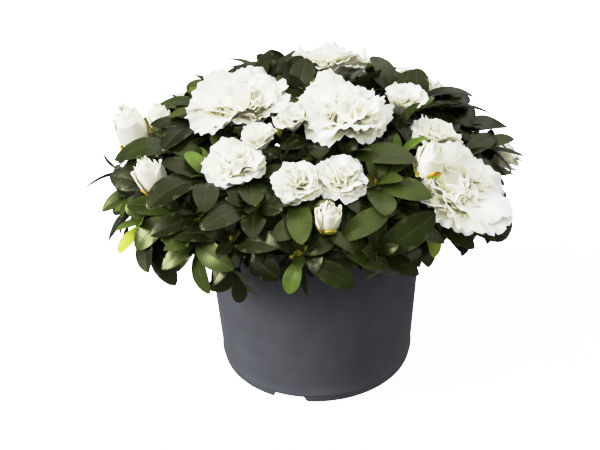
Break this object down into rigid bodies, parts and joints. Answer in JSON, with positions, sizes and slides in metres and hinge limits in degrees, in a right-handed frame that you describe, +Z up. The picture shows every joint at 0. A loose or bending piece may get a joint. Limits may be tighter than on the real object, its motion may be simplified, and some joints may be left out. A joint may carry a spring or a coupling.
{
  "type": "potted azalea",
  "caption": "Small indoor shrub in its round tapered growing pot: a low dome of whorled dark green leaves with white double flowers, on boughs from one short woody trunk.",
  "frame": {"origin": "middle of the flat pad under the pot, on the ground that it stands on", "axes": "+Z up, -Y towards the front of the picture, +X to its right"},
  "size_m": [0.247, 0.2281, 0.1852],
  "materials": {
    "pot_plastic": "moulded slate grey plastic, satin, faintly scuffed",
    "peat": "moist dark brown peat, crumbly and matt",
    "bark": "thin grey-brown bark, finely cracked lengthways",
    "foliage": "leathery dark green leaves, half glossy above and paler and matt below",
    "blossom": "soft white petals, matt and slightly translucent, cream green at the heart"
  },
  "bodies": {
    "root": {"bough_back": "bark", "bough_back_left": "bark", "bough_back_right": "bark", "bough_front": "bark", "bough_left": "bark", "bough_left_front": "bark", "bough_right_front": "bark", "bough_side_left": "bark", "bough_skirt_back": "bark", "bough_skirt_back_left": "bark", "bough_skirt_back_right": "bark", "bough_skirt_front": "bark", "bough_skirt_front_left": "bark", "bough_skirt_front_right": "bark", "bough_skirt_left": "bark", "bough_skirt_right": "bark", "bough_upper_back": "bark", "bough_upper_front": "bark", "bough_upper_left": "bark", "bough_upper_right": "bark", "foliage_back": "foliage", "foliage_back_left": "foliage", "foliage_back_right": "foliage", "foliage_front": "foliage", "foliage_left": "foliage", "foliage_left_front": "foliage", "foliage_right_front": "foliage", "foliage_side_left": "foliage", "foliage_skirt_back": "foliage", "foliage_skirt_back_left": "foliage", "foliage_skirt_back_right": "foliage", "foliage_skirt_front": "foliage", "foliage_skirt_front_left": "foliage", "foliage_skirt_front_right": "foliage", "foliage_skirt_left": "foliage", "foliage_skirt_right": "foliage", "foliage_upper_back": "foliage", "foliage_upper_front": "foliage", "foliage_upper_left": "foliage", "foliage_upper_right": "foliage", "peat": "peat", "pot": "pot_plastic", "trunk": "bark"}
  },
  "joints": []
}
